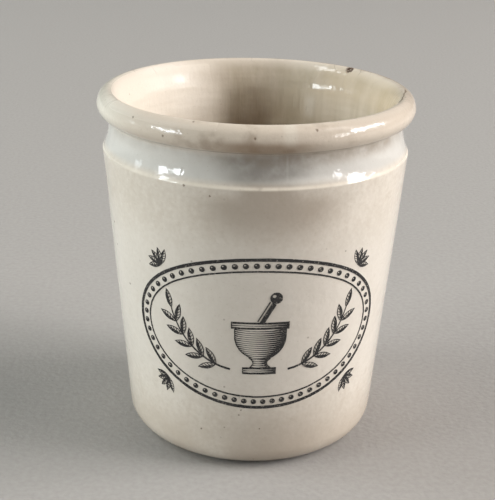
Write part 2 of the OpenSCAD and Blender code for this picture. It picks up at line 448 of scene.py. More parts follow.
def make_glaze_coat(finish):
    """Coat of glaze over the outside, the rim and the inside."""
    bm = bmesh.new()
    edge = start_line(bm, around(corner_c, FOOT_CORNER_R, glaze_edge_a))
    draw_face(bm, edge, 0)
    turn_on_wheel(bm)
    work_by_hand(bm)
    bmesh.ops.solidify(bm, geom=bm.faces[:], thickness=GLAZE_T)
    make_piece("cream_glaze_coat", bm, finish, "wall_glaze")


def make_clay_body(finish):
    """Fired clay body under the glaze, with its bare foot ring and the recess inside it."""
    bm = bmesh.new()
    recess_top = RECESS_H + GLAZE_T
    tip = start_line(bm, Vector((0, recess_top)))
    tip = straight_to(bm, tip, Vector((recess_r, recess_top)))
    tip = straight_to(bm, tip, Vector((ring_in_r, 0)))
    tip = straight_to(bm, tip, Vector((corner_c.x, 0)))
    tip = swing_to(bm, tip, corner_c, glaze_edge_a, 1)
    tip = straight_to(bm, tip, around(corner_c, FOOT_CORNER_R - GLAZE_T, glaze_edge_a))
    draw_face(bm, tip, GLAZE_T)
    turn_on_wheel(bm)
    work_by_hand(bm)
    make_piece("clay_body", bm, finish, "pot_body")


def make_recess_glaze(finish):
    """Glaze inside the foot ring, cut off from the rest by the bare ring."""
    bm = bmesh.new()
    low_r = ring_in_r - RECESS_SLOPE_W * RECESS_H / (RECESS_H + GLAZE_T)
    tip = start_line(bm, Vector((0, RECESS_H)))
    tip = straight_to(bm, tip, Vector((low_r, RECESS_H)))
    tip = straight_to(bm, tip, Vector((recess_r, RECESS_H + GLAZE_T)))
    straight_to(bm, tip, Vector((0, RECESS_H + GLAZE_T)))
    turn_on_wheel(bm)
    work_by_hand(bm)
    make_piece("recess_glaze", bm, finish, "base_glaze")


# Label, drawn flat in (along the wall, up it, off it) and then wrapped on the wall

label_r = wall_r(LABEL_Z)


def stroke(ink, path, width, steps, top):
    """Lays a stroke of ink: path(t) is its middle line and width(t) its width, for t from 0 to 1."""
    made = bmesh.ops.create_grid(ink, x_segments=steps, y_segments=1, size=0.5)
    for vert in made["verts"]:
        t = vert.co.x + 0.5
        along = path(t + STROKE_NEAR) - path(t - STROKE_NEAR)
        across = Vector((-along.y, along.x)).normalized()
        place = path(t) + across * vert.co.y * width(t)
        vert.co = (place.x, place.y, top)


def even(width):
    """A width that is the same all along."""
    return lambda t: width


def line_between(start, end):
    """Straight path of a stroke."""
    return lambda t: start.lerp(end, t)


def side_line(side, half_width, high, low):
    """Path down the right (1) or left (-1) edge of an upright form, between two heights."""

    def path(t):
        level = high + (low - high) * t
        return Vector((side * half_width(level), level))

    return path


def sagging_line(half, level, sag):
    """Path across an upright form at a height, lower in the middle by a sag."""

    def path(t):
        across = 2 * t - 1
        return Vector((half * across, level - sag * (1 - across * across)))

    return path


def pearl(ink, middle, r, top):
    """Lays a round dot with a small unprinted glint on its upper left."""
    dot = bmesh.ops.create_circle(ink, segments=PEARL_SIDES, radius=r)["verts"]
    glint = bmesh.ops.create_circle(ink, segments=PEARL_SIDES, radius=GLINT_SHARE * r)["verts"]
    bmesh.ops.translate(ink, verts=glint, vec=(-GLINT_OFF * r, GLINT_OFF * r, 0))
    edges = [edge for vert in dot + glint for edge in vert.link_edges if edge.verts[0] == vert]
    bmesh.ops.bridge_loops(ink, edges=edges)
    bmesh.ops.translate(ink, verts=dot + glint, vec=(middle.x, middle.y, top))


def leaf(ink, root, way, length, width, dark_side, top):
    """Lays a leaf: one half solid, the other with an edge line and a few veins."""
    along = length * Vector((math.cos(way), math.sin(way)))
    across = dark_side * Vector((-math.sin(way), math.cos(way)))

    def reach(t):
        return width / 2 * (1 - (2 * t - 1) ** 2)

    def dark_half(t):
        return root + along * t + across * reach(t) / 2

    def light_edge(t):
        return root + along * t - across * (reach(t) - FINE_LINE / 2)

    stroke(ink, dark_half, reach, LEAF_STEPS, top)
    stroke(ink, light_edge, even(FINE_LINE), LEAF_STEPS, top)
    for t in VEINS_AT:
        rib = root + along * t
        end = root + along * (t + VEIN_RISE) - across * reach(t + VEIN_RISE)
        stroke(ink, line_between(rib, end), lambda t: FINE_LINE * (1 - 0.5 * t), 2, top)


def oval_rule(ink, axes, width, top):
    """Lays an oval rule of the border, inside a pair of half axes."""

    def path(t):
        a = math.tau * t
        return Vector(((axes.x - width / 2) * math.cos(a), (axes.y - width / 2) * math.sin(a)))

    def uneven(t):
        place = path(t) / RULE_LOBE
        return width * (1 + RULE_UNEVEN * noise.noise((place.x, place.y, 0)))

    stroke(ink, path, uneven, RULE_STEPS, top)


def border(ink):
    """Double oval rule with a row of pearls, and a fan of petals in each corner."""
    outer = Vector((LABEL_W, LABEL_H)) / 2
    field = outer - Vector((OUTER_RULE_W, OUTER_RULE_W))
    inner = field - Vector((PEARL_BAND_W, PEARL_BAND_W))
    oval_rule(ink, outer, OUTER_RULE_W, INK_T)
    oval_rule(ink, inner, INNER_RULE_W, INK_T)
    row = (field + inner) / 2
    skew = (row.x - row.y) / (row.x + row.y) / 2
    for i in range(PEARL_COUNT):
        u = math.tau * (i + 0.5) / PEARL_COUNT
        a = u + skew * math.sin(2 * u)
        pearl(ink, Vector((row.x * math.cos(a), row.y * math.sin(a))), PEARL_D / 2, INK_T)
    diagonal = Vector((1, 1)).normalized()
    corner = outer * diagonal + PETAL_GAP * diagonal
    for side, rise in ((1, 1), (-1, 1), (-1, -1), (1, -1)):
        root = Vector((side * corner.x, rise * corner.y))
        for i in range(PETAL_COUNT):
            a = math.pi / 4 + CORNER_FAN * (i / (PETAL_COUNT - 1) - 0.5)
            way = math.atan2(rise * math.sin(a), side * math.cos(a))
            leaf(ink, root, way, PETAL_L, PETAL_W, -side * rise, INK_T - i * INK_LAYER)


def shade(across):
    """Darkness of a round form from its left edge, -1, to its right edge, 1, lit from the left."""
    turned_away = max(0, (across - LIT_TO) / (1 - LIT_TO)) ** SHADE_CURVE
    near_edge = max(0, (LEFT_EDGE_TO - across) / (1 + LEFT_EDGE_TO))
    return LEAST_INK + SHADE_INK * turned_away + EDGE_INK * near_edge


def hatched_form(ink, low, high, half_width, sag, top):
    """Lays the level lines of an upright round form, heavier on the side in shade."""
    lines = round((high - low) / HATCH_STEP)
    pitch = (high - low) / lines
    for i in range(lines):
        level = low + pitch * (i + 0.5)
        path = sagging_line(half_width(level), level, sag)
        stroke(ink, path, lambda t: pitch * shade(2 * t - 1), HATCH_LINE_STEPS, top)


def mortar(ink, foot):
    """Mortar drawn with level lines and edge lines, standing on a height."""
    bowl_r = MORTAR_W / 2 - BRIM_OVER
    brim_top = foot + MORTAR_H
    bowl_top = brim_top - BRIM_H
    bowl_z = bowl_top - BOWL_SIDE_H
    bowl_low = bowl_z - math.sqrt(bowl_r**2 - (STEM_W / 2) ** 2)
    stem_low = foot + MORTAR_FOOT_H

    def bowl_half(level):
        return math.sqrt(bowl_r**2 - max(0, bowl_z - level) ** 2)

    def stem_half(level):
        k = (level - stem_low) / (bowl_low - stem_low)
        return STEM_W / 2 * (STEM_WAIST + STEM_FLARE * (2 * k - 1) ** 2)

    hatched_form(ink, bowl_low, bowl_top, bowl_half, BOWL_SAG, INK_T)
    hatched_form(ink, stem_low, bowl_low, stem_half, STEM_SAG, INK_T)
    hatched_form(ink, foot, stem_low, even(MORTAR_FOOT_W / 2), 0, INK_T)
    hatched_form(ink, bowl_top, brim_top, even(MORTAR_W / 2), 0, INK_T)
    slabs = ((MORTAR_W / 2, bowl_top, brim_top), (MORTAR_FOOT_W / 2, foot, stem_low))
    for side, line_w in ((-1, LIT_LINE), (1, SHADE_LINE)):
        bowl_edge = side_line(side, bowl_half, bowl_top, bowl_low)
        stem_edge = side_line(side, stem_half, bowl_low, stem_low)
        stroke(ink, bowl_edge, even(line_w), 20, INK_T - INK_LAYER)
        stroke(ink, stem_edge, even(line_w), 8, INK_T - INK_LAYER)
        for half, low, high in slabs:
            x = side * (half - line_w / 2)
            slab_edge = line_between(Vector((x, low)), Vector((x, high)))
            stroke(ink, slab_edge, even(line_w), 2, INK_T - INK_LAYER)
    for half, low, high in slabs:
        for level in (low, high):
            level_edge = line_between(Vector((-half, level)), Vector((half, level)))
            stroke(ink, level_edge, even(LEVEL_LINE), 16, INK_T - 2 * INK_LAYER)


def pestle(ink, mouth):
    """Pestle that leans out of the mortar's mouth, with a round knob."""
    start = Vector((0, mouth))
    way = Vector((math.sin(PESTLE_LEAN), math.cos(PESTLE_LEAN)))
    right = Vector((way.y, -way.x))
    end = start + way * (PESTLE_L - KNOB_D / 2)
    for offset, share in PESTLE_LINES:
        shift = right * PESTLE_W * offset
        stroke(ink, line_between(start + shift, end + shift), even(PESTLE_W * share), 8, INK_T)
    pearl(ink, start + way * PESTLE_L, KNOB_D / 2, INK_T)


def sprig(ink, foot, side):
    """Leafy sprig to the right (1) or the left (-1) of the mortar."""
    middle = Vector(
        (
            MORTAR_FOOT_W / 2 + SPRIG_GAP - SPRIG_R * math.cos(SPRIG_START),
            foot + SPRIG_RISE - SPRIG_R * math.sin(SPRIG_START),
        )
    )

    def angle(t):
        return SPRIG_START + (SPRIG_END - SPRIG_START) * t

    def stalk(t):
        place = around(middle, SPRIG_R, angle(t))
        return Vector((side * place.x, place.y))

    stroke(ink, stalk, lambda t: STALK_W * (1.1 - 0.5 * t), STALK_STEPS, INK_T - 2 * INK_LAYER)
    for i in range(1, LEAF_PAIRS + 1):
        t = i / (LEAF_PAIRS + 1)
        for out in (-1, 1):
            way = angle(t) + math.pi / 2 + out * LEAF_SPREAD
            way = math.atan2(math.sin(way), side * math.cos(way))
            leaf(ink, stalk(t), way, LEAF_L, LEAF_W, -side, INK_T - (i % 2) * INK_LAYER)
    way = math.atan2(math.cos(SPRIG_END), -side * math.sin(SPRIG_END))
    leaf(ink, stalk(1), way, LEAF_L, LEAF_W, -side, INK_T)


def on_wall(s, v, lift):
    """Place on the front of the wall: s round it and v up it from the label's middle, lifted off it."""
    z = LABEL_Z + v
    out = Vector((math.sin(s / label_r), -math.cos(s / label_r), 0))
    face = by_hand(out * wall_r(z) + UP * z)
    return face + (out * math.cos(lean) - UP * math.sin(lean)) * lift


def make_label(finish):
    """Black print on the front of the wall."""
    ink = bmesh.new()
    border(ink)
    mortar(ink, -EMBLEM_DROP)
    pestle(ink, MORTAR_H - EMBLEM_DROP)
    sprig(ink, -EMBLEM_DROP, 1)
    sprig(ink, -EMBLEM_DROP, -1)
    bmesh.ops.remove_doubles(ink, verts=ink.verts, dist=JOIN_DISTANCE)
    noise.seed_set(INK_SEED)
    for vert in ink.verts:
        ragged = noise.noise_vector(vert.co / INK_GRAIN)
        vert.co.xy += INK_ROUGH * ragged.xy
    made = bmesh.ops.extrude_face_region(ink, geom=ink.faces[:], use_keep_orig=True)
    for vert in made["geom"]:
        if isinstance(vert, bmesh.types.BMVert):
            vert.co.z = 0
    bmesh.ops.recalc_face_normals(ink, faces=ink.faces)
    for vert in ink.verts:
        vert.co = on_wall(*vert.co)
    make_piece("label_print", ink, finish, "printed_label")


# Materials


def new_finish(name):
    """A material with its node tree and its shader."""
    finish = bpy.data.materials.new(name)
    finish.use_nodes = True
    return finish, finish.node_tree, finish.node_tree.nodes["Principled BSDF"]


def add(tree, kind, sockets=None, **settings):
    """Adds a shader node, sets its properties and fills its sockets with values or links."""
    made = tree.nodes.new("ShaderNode" + kind)
    for name, value in settings.items():
        setattr(made, name, value)
    for socket, value in (sockets or {}).items():
        if isinstance(value, bpy.types.NodeSocket):
            tree.links.new(value, made.inputs[socket])
        else:
            made.inputs[socket].default_value = value
    return made


def places(tree):
    """Place of a point of the pot, its height, its distance from the axis and its azimuth."""
    where = add(tree, "TexCoord").outputs["Object"]
    parts = add(tree, "SeparateXYZ", {0: where}).outputs
    level = add(tree, "CombineXYZ", {"X": parts["X"], "Y": parts["Y"]}).outputs[0]
    radius = add(tree, "VectorMath", {0: level}, operation="LENGTH").outputs["Value"]
    front = times(tree, parts["Y"], -1.0)
    azimuth = add(tree, "Math", {0: parts["X"], 1: front}, operation="ARCTAN2").outputs[0]
    return where, parts["Z"], radius, azimuth


def times(tree, first, *others):
    """Product of values and links."""
    for other in others:
        first = add(tree, "Math", {0: first, 1: other}, operation="MULTIPLY").outputs[0]
    return first


def plus(tree, first, *others):
    """Sum of values and links."""
    for other in others:
        first = add(tree, "Math", {0: first, 1: other}, operation="ADD").outputs[0]
    return first


def less(tree, a, b):
    """The first of two values less the second."""
    return add(tree, "Math", {0: a, 1: b}, operation="SUBTRACT").outputs[0]


def more_of(tree, a, b):
    """The larger of two values."""
    return add(tree, "Math", {0: a, 1: b}, operation="MAXIMUM").outputs[0]


def either_way(tree, a):
    """A value without its sign."""
    return add(tree, "Math", {0: a}, operation="ABSOLUTE").outputs[0]


def fade(tree, value, start, end):
    """Grows softly from 0 where the value is start to 1 where it is end."""
    sockets = {"Value": value, "From Min": start, "From Max": end}
    return add(tree, "MapRange", sockets, interpolation_type="SMOOTHSTEP").outputs["Result"]


def band(tree, value, low, high, soft):
    """1 between two values of a thing and 0 outside them, with soft edges."""
    rise = fade(tree, value, low - soft, low + soft)
    return times(tree, rise, fade(tree, value, high + soft, high - soft))


def turn_fade(tree, azimuth, start, end):
    """Grows softly from 0 at one azimuth to 1 at another, in degrees."""
    return fade(tree, azimuth, math.radians(start), math.radians(end))


def sector(tree, azimuth, start, end, soft):
    """1 between two azimuths and 0 outside them, with soft edges, in degrees."""
    return band(tree, azimuth, math.radians(start), math.radians(end), math.radians(soft))


def between(tree, value, low, high):
    """Spreads a value from 0 to 1 over a range."""
    return add(tree, "MapRange", {"Value": value, "To Min": low, "To Max": high}).outputs["Result"]


def clouds(tree, where, size, detail=3.0):
    """Soft random patches of about a size."""
    sockets = {"Vector": where, "Scale": 1 / size, "Detail": detail}
    return add(tree, "TexNoise", sockets).outputs["Fac"]


def stretched(tree, where, scale):
    """Places scaled along the three axes, for patches that are drawn out."""
    return add(tree, "Mapping", {"Vector": where, "Scale": scale}).outputs[0]


def two_tones(tree, value, start, first, end, second):
    """Goes from one tone, where the value is start, to another, where it is end."""
    ramp = add(tree, "ValToRGB", {"Fac": value})
    for stop, position, tone in zip(ramp.color_ramp.elements, (start, end), (first, second)):
        stop.position = position
        stop.color = (*tone, 1)
    return ramp.outputs["Color"]


def wash(tree, under, tone, *shares):
    """Lays a tone over a colour, as strongly as the product of the shares."""
    sockets = {0: times(tree, *shares), 6: under, 7: (*tone, 1)}
    return add(tree, "Mix", sockets, data_type="RGBA").outputs[2]


def roughen(tree, shader, height, depth, strength):
    """Gives a finish an uneven skin."""
    bump = add(tree, "Bump", {"Strength": strength, "Distance": depth, "Height": height})
    tree.links.new(bump.outputs["Normal"], shader.inputs["Normal"])


def dot_at(tree, where, middle, r):
    """A round mark on the surface."""
    off = add(tree, "VectorMath", {0: where, 1: middle}, operation="DISTANCE").outputs["Value"]
    return fade(tree, off, r, DOT_CORE * r)


def line_at(tree, value, at, half_width):
    """A line where a value, such as the azimuth, is at a number."""
    return fade(tree, either_way(tree, less(tree, value, at)), half_width, LINE_CORE * half_width)


def on_face(azimuth, z):
    """Place on the outside of the bead or of the wall."""
    if z > neck_z:
        r = bead_c.x + math.sqrt(BEAD_R**2 - (z - bead_c.y) ** 2)
    else:
        r = wall_r(z)
    return by_hand(by_bearing(azimuth, Vector((r, z))))


# Cream glaze: each step lays its marks on the colour and keeps the masks that later steps use


def glaze_face(tree):
    """Where a point of the glaze is, which part of the pot that is, and patches of three sizes."""
    where, height, radius, azimuth = places(tree)
    sockets = {0: height, 1: -math.tan(lean), 2: radius}
    reach_at_foot = add(tree, "Math", sockets, operation="MULTIPLY_ADD").outputs[0]
    outer = foot_r - OUTSIDE_TO
    inner = foot_r - INSIDE_FROM
    outside = fade(tree, reach_at_foot, inner, outer)
    above_recess = fade(tree, height, RECESS_H + 1 * MM, FLOOR_T - 1 * MM)
    neck = band(tree, height, shoulder_z + 1.4 * MM, neck_z - 0.6 * MM, 1.0 * MM)
    bead = fade(tree, height, neck_z - 0.2 * MM, neck_z + 1.2 * MM)
    return SimpleNamespace(
        where=where,
        height=height,
        radius=radius,
        azimuth=azimuth,
        turned=either_way(tree, azimuth),
        broad=clouds(tree, where, 16 * MM),
        middling=clouds(tree, where, 3.5 * MM, 4.0),
        fine=clouds(tree, where, 0.5 * MM),
        outside=outside,
        inside=times(tree, fade(tree, reach_at_foot, outer, inner), above_recess),
        neck=times(tree, neck, outside),
        bead=times(tree, bead, outside),
        rim=fade(tree, height, POT_H - 2.5 * MM, POT_H - 0.6 * MM),
    )


def body_tone(tree, face):
    """Cream of the glaze, in soft patches and a fine mottle."""
    colour = two_tones(tree, face.broad, 0.35, (0.685, 0.62, 0.535), 0.65, (0.745, 0.68, 0.595))
    colour = wash(tree, colour, (0.60, 0.52, 0.425), fade(tree, face.middling, 0.5, 0.75), 0.35)
    mottle = clouds(tree, face.where, 1.1 * MM)
    colour = wash(tree, colour, (0.58, 0.50, 0.41), fade(tree, mottle, 0.48, 0.68), 0.22)
    return wash(tree, colour, (0.86, 0.81, 0.73), fade(tree, mottle, 0.5, 0.3), 0.22)


def stain_wall(tree, face, colour):
    """Wall, paler over the middle of its height, brown at the foot, with painted shade at the front of
    the foot and under the shoulder in front.
    """
    # Paler over the middle of the wall's height
    mid_wall = band(tree, face.height, 22 * MM, 62 * MM, 8 * MM)
    colour = wash(tree, colour, (0.77, 0.72, 0.65), mid_wall, face.outside, 0.6)

    # Foot, browner towards the bare ring, with a painted shade at the front
    foot = times(tree, fade(tree, face.height, 19 * MM, 3 * MM), fade(tree, face.broad, 0.2, 0.6))
    colour = wash(tree, colour, (0.51, 0.43, 0.345), foot, 0.8)
    # Painted shade: the front of the foot, darker where less light falls
    front_foot_shade = sector(tree, face.azimuth, -12, 32, 14)
    front_foot_shade = times(tree, front_foot_shade, fade(tree, face.height, 24 * MM, 10 * MM))
    colour = wash(tree, colour, (0.44, 0.375, 0.305), front_foot_shade, face.outside, 0.36)

    # Painted shade, brownish, under the shoulder at the front, cleared at its upper sides
    shoulder_shade = dot_at(tree, face.where, on_face(SHOULDER_SHADE_AZIMUTH, SHOULDER_SHADE_H), SHOULDER_SHADE_R)
    shoulder_shade = times(tree, shoulder_shade, fade(tree, face.height, 59 * MM, 71 * MM))
    right = turn_fade(tree, face.azimuth, 4, 16)
    left = turn_fade(tree, face.azimuth, -2, -14)
    cleared = times(tree, more_of(tree, right, left), fade(tree, face.height, 71 * MM, 76 * MM))
    return wash(tree, colour, (0.43, 0.36, 0.29), shoulder_shade, fade(tree, cleared, 1.3, 0.0), 0.75)


def stain_neck(tree, face, colour):
    """Neck, where the glaze pooled pale, with a grey painted shade in front and dirt with painted shade
    under the bead.
    """
    colour = wash(tree, colour, (0.62, 0.61, 0.58), face.neck, 0.8)
    # Painted shade: a grey darkening of the neck in front, under the bead
    front_neck_shade = dot_at(tree, face.where, by_bearing(0, Vector((neck_r, neck_z))), 14 * MM)
    front_neck_shade = times(tree, front_neck_shade, face.neck, fade(tree, face.middling, -0.3, 0.7))
    colour = wash(tree, colour, (0.27, 0.25, 0.225), front_neck_shade, 0.85)
    pool = fade(tree, face.height, shoulder_z + 3.4 * MM, shoulder_z + 1.2 * MM)
    pool = times(tree, face.neck, pool, sector(tree, face.azimuth, 4, 34, 8))
    colour = wash(tree, colour, (0.86, 0.83, 0.775), pool, 0.55)
    # Dirt and painted shade in the crease under the bead, heavier in front
    crease = band(tree, face.height, neck_z - 2.6 * MM, neck_z + 0.4 * MM, 1.8 * MM)
    front_weighted = plus(tree, times(tree, sector(tree, face.azimuth, -14, 62, 18), 0.7), 0.3)
    face.dirt = times(tree, crease, face.outside, fade(tree, face.middling, 0.05, 0.7), front_weighted)
    return wash(tree, colour, (0.31, 0.245, 0.18), face.dirt, 0.7)


def thin_shoulder(tree, face, colour):
    """Shoulder edge, pale where the glaze ran thin, but smooth and covered at the sides."""
    edge = band(tree, face.height, shoulder_z, shoulder_z + 0.7 * MM, 0.35 * MM)
    edge = times(tree, edge, face.outside)
    right = sector(tree, face.azimuth, 58, 130, 14)
    left = times(tree, sector(tree, face.azimuth, -130, -54, 8), 0.7)
    face.covered_edge = times(tree, edge, more_of(tree, right, left))
    thin = less(tree, edge, face.covered_edge)
    return wash(tree, colour, (0.82, 0.75, 0.645), thin, fade(tree, face.middling, 0.15, 0.55))


def wear_bead(tree, face, colour):
    """Bead, worn beige and pale on the left, with brown patches, a painted shade under it in front and
    a painted reflection streak.
    """
    colour = wash(tree, colour, (0.645, 0.56, 0.465), face.bead, 0.9)
    pale = times(tree, face.bead, sector(tree, face.azimuth, -120, -56, 16))
    colour = wash(tree, colour, (0.78, 0.735, 0.64), pale, 0.8)
    patches = fade(tree, clouds(tree, face.where, 5 * MM, 5.0), 0.48, 0.72)
    right = sector(tree, face.azimuth, 30, 95, 12)
    left = sector(tree, face.azimuth, -110, -34, 12)
    unwiped = fade(tree, more_of(tree, right, left), 1.0, 0.0)
    face.grime = times(tree, face.bead, patches, unwiped)
    colour = wash(tree, colour, (0.36, 0.275, 0.205), face.grime, 0.55)
    # Painted shade on the underside of the bead in front
    under = fade(tree, face.height, bead_c.y + 0.8 * MM, bead_c.y - 1.2 * MM)
    under = times(tree, face.bead, under, sector(tree, face.azimuth, -16, 14, 9))
    colour = wash(tree, colour, (0.30, 0.20, 0.12), under, 0.7)
    # Painted reflection: a pale upright streak on the bead
    bead_streak = times(tree, face.bead, line_at(tree, face.azimuth, STREAK_AZIMUTH, BEAD_STREAK_HALF_TURN))
    bead_streak = times(tree, bead_streak, fade(tree, face.height, bead_c.y - 2.2 * MM, bead_c.y + 1.2 * MM))
    return wash(tree, colour, (0.74, 0.68, 0.585), bead_streak, 0.6)


def stain_inside(tree, face, colour):
    """Inside, warmer, under a film of old ointment but for the left, darkened brown below by a stain
    with painted shade, and behind by a painted shade.
    """
    colour = wash(tree, colour, (0.74, 0.665, 0.57), face.inside, 0.85)
    behind = turn_fade(tree, face.azimuth, -160, -176)
    right = turn_fade(tree, face.azimuth, 20, 70)
    under_lip = fade(tree, face.height, POT_H, POT_H - 3 * MM)
    face.film = times(tree, more_of(tree, behind, right), under_lip)
    face.drawn_down = stretched(tree, face.where, (1, 1, 0.14))
    drips = fade(tree, clouds(tree, face.drawn_down, 4 * MM, 2.0), 0.7, 0.3)
    drips = plus(tree, times(tree, drips, 0.35), 0.5)
    colour = wash(tree, colour, (0.465, 0.405, 0.305), face.film, face.inside, drips)

    # Brown stain with painted shade deep inside, up to a wandering line, which is lower on the left
    wander = times(tree, plus(tree, clouds(tree, face.where, 9 * MM, 4.0), -0.5), 14 * MM)
    face.tide = plus(tree, face.height, wander)
    drop = plus(tree, face.tide, times(tree, sector(tree, face.azimuth, -158, -40, 8), 13 * MM))
    patchy = plus(tree, times(tree, fade(tree, face.middling, 0.35, 0.65), 0.3), 0.5)
    # Stain and painted shade: darker brown deep inside
    low = times(tree, face.inside, fade(tree, drop, 69 * MM, 55 * MM), patchy)
    colour = wash(tree, colour, (0.27, 0.205, 0.14), low)
    # Painted shade: the back of the inside, dark brown below the lip
    behind = turn_fade(tree, plus(tree, face.turned, times(tree, wander, 20.0)), 160, 178)
    behind = times(tree, behind, fade(tree, face.tide, 88 * MM, 73 * MM))
    behind = times(tree, behind, fade(tree, face.height, 30 * MM, 60 * MM))
    return wash(tree, colour, (0.21, 0.15, 0.10), behind, face.inside, 0.8)


def wear_lip(tree, face, colour):
    """Inner lip, with a painted shade behind and a painted pool of light at the back left, tanned on
    the right, and with a painted glint.
    """
    # Painted shade on the inner lip at the back
    back_lip_shade = times(tree, face.inside, turn_fade(tree, face.turned, 152, 170))
    back_lip_shade = times(tree, back_lip_shade, fade(tree, face.height, 80 * MM, 87 * MM))
    colour = wash(tree, colour, (0.36, 0.295, 0.23), back_lip_shade, 0.4)
    upper = times(tree, face.inside, fade(tree, face.tide, 56 * MM, 76 * MM))
    # Painted light: a paler patch on the inner wall at the back left, where light falls
    face.rubbed = times(tree, sector(tree, face.azimuth, -164, -142, 7), upper)
    below_crest = fade(tree, face.height, 87 * MM, 80 * MM)
    colour = wash(tree, colour, (0.88, 0.81, 0.72), face.rubbed, below_crest, 0.75)
    warm = times(tree, sector(tree, face.azimuth, 62, 106, 10), upper)
    colour = wash(tree, colour, (0.50, 0.40, 0.26), warm, 0.35)
    tanned = times(tree, face.inside, sector(tree, face.azimuth, 72, 146, 9))
    tanned = times(tree, tanned, fade(tree, face.height, 79 * MM, 87 * MM))
    colour = wash(tree, colour, (0.60, 0.475, 0.325), tanned, 0.4)
    # Painted glint: a pale upright streak on the inner wall at the back right
    inner_glint = times(tree, upper, line_at(tree, face.azimuth, INNER_GLINT_AZIMUTH, INNER_GLINT_HALF_TURN))
    inner_glint = times(tree, inner_glint, band(tree, face.height, 76 * MM, 82 * MM, 2 * MM))
    return wash(tree, colour, (0.74, 0.70, 0.63), inner_glint, 0.5)


def crack_rim(tree, face, colour):
    """Painted reflection streak down the neck, and the rim with a painted highlight on its crest at the
    back left, crazed and cracked.
    """
    # Painted reflection: the same pale streak down the neck
    neck_streak = times(tree, face.neck, line_at(tree, face.azimuth, STREAK_AZIMUTH, NECK_STREAK_HALF_TURN))
    colour = wash(tree, colour, (0.66, 0.64, 0.60), neck_streak, 0.16)
    # Painted highlight on the crest at the back left
    crest_highlight = times(tree, sector(tree, face.azimuth, -149, -124, 8), face.rim)
    colour = wash(tree, colour, (0.88, 0.80, 0.71), crest_highlight, 0.6)
    sockets = {"Vector": face.where, "Scale": 1 / (5 * MM)}
    cells = add(tree, "TexVoronoi", sockets, feature="DISTANCE_TO_EDGE")
    crazing = times(tree, fade(tree, cells.outputs["Distance"], 0.03, 0.008), face.rim)
    crazing = times(tree, crazing, fade(tree, face.broad, 0.5, 0.62))
    crazing = times(tree, crazing, turn_fade(tree, face.turned, 62, 72))
    colour = wash(tree, colour, (0.22, 0.16, 0.11), crazing, 0.65)
    slant = times(tree, plus(tree, face.azimuth, -CRACK_AZIMUTH), CRACK_SLANT)
    jags = times(tree, plus(tree, face.middling, -0.5), CRACK_JAGS)
    track = plus(tree, face.radius, slant, jags)
    crack = times(tree, line_at(tree, track, crest_c.x, CRACK_HALF_W), face.rim)
    length = band(tree, face.azimuth, CRACK_AZIMUTH - CRACK_TURN, CRACK_AZIMUTH, 0.05)
    return wash(tree, colour, (0.18, 0.13, 0.085), crack, length, 0.75)


def fleck(tree, face, colour):
    """Iron specks, scattered small ones and the larger ones by place, fine grit and the dark chip."""
    spots = add(tree, "TexVoronoi", {"Vector": face.where, "Scale": 1 / (4 * MM), "Randomness": 1.0})
    chance = add(tree, "SeparateColor", {0: spots.outputs["Color"]}).outputs["Red"]
    faint = times(tree, fade(tree, chance, 0.7, 0.75), 0.25)
    faint = plus(tree, faint, times(tree, fade(tree, chance, 0.82, 0.86), 0.4))
    iron = times(tree, fade(tree, spots.outputs["Distance"], 0.09, 0.04), faint)
    sockets = {"Vector": face.where, "Scale": 1 / (0.5 * MM), "Detail": 2.0}
    shake = add(tree, "TexNoise", sockets).outputs["Color"]
    sockets = {0: shake, 1: (SPECK_SHAKE,) * 3, 2: face.where}
    ragged = add(tree, "VectorMath", sockets, operation="MULTIPLY_ADD").outputs[0]
    for azimuth, z, across in IRON_SPECKS:
        middle = on_face(math.radians(azimuth), z * MM) + Vector((SPECK_SHAKE / 2,) * 3)
        iron = more_of(tree, iron, dot_at(tree, ragged, middle, across / 2 * MM))
    colour = wash(tree, colour, (0.17, 0.115, 0.075), iron, 0.75)
    colour = wash(tree, colour, (0.42, 0.34, 0.26), fade(tree, face.fine, 0.62, 0.75), 0.25)
    chip = dot_at(tree, face.where, chip_c + 0.4 * CHIP_DEPTH * chip_push, 1.25 * CHIP_R)
    face.chip = times(tree, chip, fade(tree, face.fine, 0.3, 0.5))
    return wash(tree, colour, (0.10, 0.06, 0.04), face.chip)


def glaze_gloss(tree, face):
    """Roughness of the glaze: smeared all over, and duller with dirt and wear."""
    matt = plus(tree, times(tree, sector(tree, face.azimuth, -142, -40, 5), 0.32), 0.05)
    dull = times(tree, face.inside, matt)
    satin = fade(tree, face.height, bead_c.y + 1.5 * MM, bead_c.y + 2.1 * MM)
    satin = times(tree, face.bead, satin, sector(tree, face.azimuth, -66, -16, 6))
    for mask, share in (
        (face.grime, 0.12),
        (face.chip, 0.6),
        (face.dirt, 0.15),
        (face.bead, 0.02),
        (face.rubbed, 0.13),
        (face.covered_edge, 0.3),
        (satin, 0.25),
        (face.neck, -0.05),
    ):
        dull = plus(tree, dull, times(tree, mask, share))
    return plus(tree, between(tree, face.broad, 0.07, 0.17), dull)


def glaze_skin(tree, face):
    """Height of the glaze's skin: waves outside, streaks and throwing rings inside, and grain."""
    waves = times(tree, clouds(tree, face.where, 4 * MM, 2.0), face.outside)
    streaky = times(tree, face.inside, plus(tree, times(tree, face.film, 1.2), 0.4))
    streaks = times(tree, clouds(tree, face.drawn_down, 1.6 * MM, 2.0), streaky)
    grainy = plus(tree, times(tree, face.bead, 0.3), 0.22)
    grain = times(tree, clouds(tree, face.where, 0.9 * MM, 1.0), grainy)
    drawn_round = stretched(tree, face.where, (0.2, 0.2, 1))
    rings = times(tree, clouds(tree, drawn_round, 2.4 * MM, 1.0), face.inside, 1.6)
    return plus(tree, waves, streaks, grain, rings)


